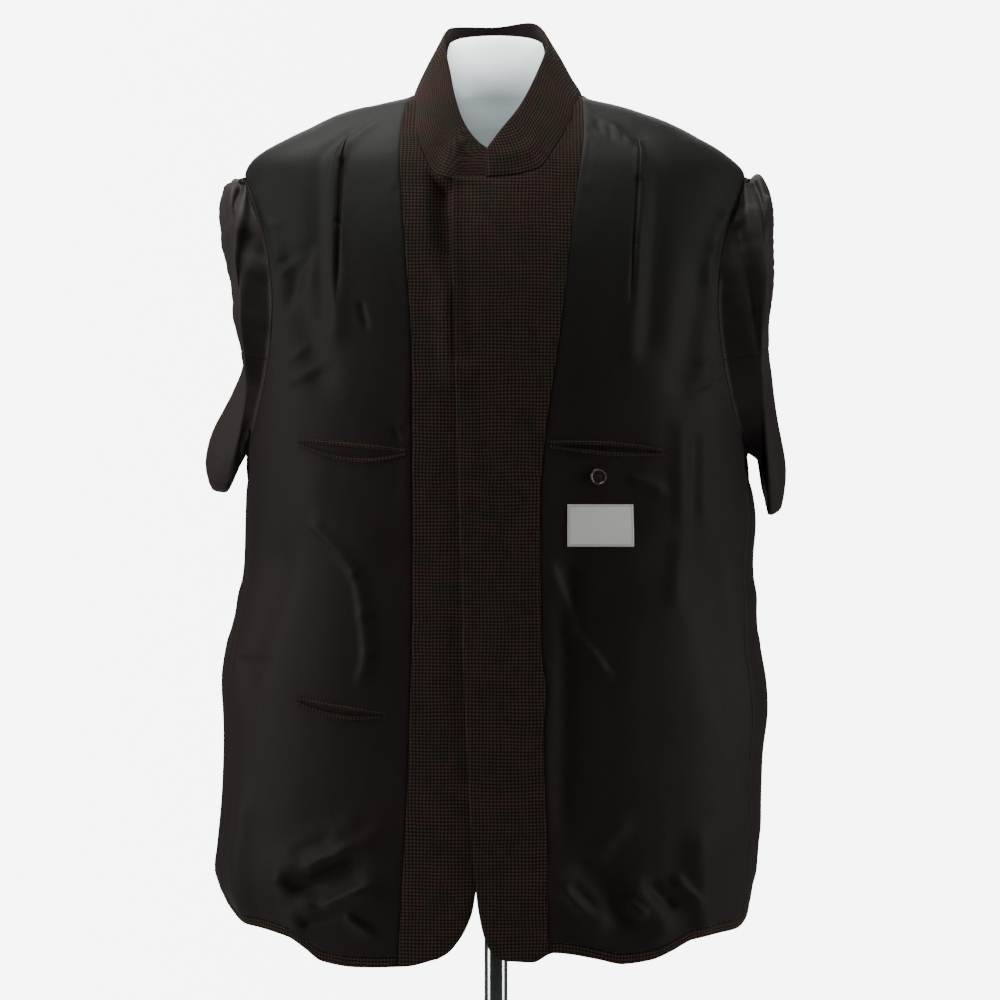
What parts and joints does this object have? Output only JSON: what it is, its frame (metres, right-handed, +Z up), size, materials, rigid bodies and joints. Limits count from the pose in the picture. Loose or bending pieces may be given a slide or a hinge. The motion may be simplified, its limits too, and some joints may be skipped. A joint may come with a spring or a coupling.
{
  "type": "sport coat on a dress form",
  "caption": "Men's sport coat worn inside out on a limbless dress form with a pole and round base, collar turned up, sleeves pushed in, lining outside.",
  "frame": {"origin": "centre of the stand base's underside, on the floor", "axes": "+Z up along the pole, the coat's front faces -Y, +X is to the right as one faces its front"},
  "size_m": [0.5512, 0.39, 1.5778],
  "materials": {
    "lining": "dark brown satin lining",
    "wool": "small brown check wool",
    "felt": "dark undercollar felt",
    "button": "polished",
    "label": "pale woven satin",
    "form": "glossy bluish white",
    "chrome": "polished"
  },
  "bodies": {
    "root": {"front_lining_left": "lining", "facing_left": "wool", "side_lining_left": "lining", "back_lining_left": "lining", "hem_turnup_left": "wool", "sleeve_upper_left": "lining", "sleeve_under_left": "lining", "front_lining_right": "lining", "facing_right": "wool", "side_lining_right": "lining", "back_lining_right": "lining", "hem_turnup_right": "wool", "sleeve_upper_right": "lining", "sleeve_under_right": "lining", "top_collar": "wool", "undercollar": "felt", "pocket_upper_left_upper_lip": "wool", "pocket_upper_left_lower_lip": "wool", "pocket_lower_left_upper_lip": "wool", "pocket_lower_left_lower_lip": "wool", "pocket_upper_right_upper_lip": "wool", "pocket_upper_right_lower_lip": "wool", "pocket_button": "button", "woven_label": "label", "dress_form": "form", "stand_pole": "chrome", "stand_base": "chrome"}
  },
  "joints": []
}
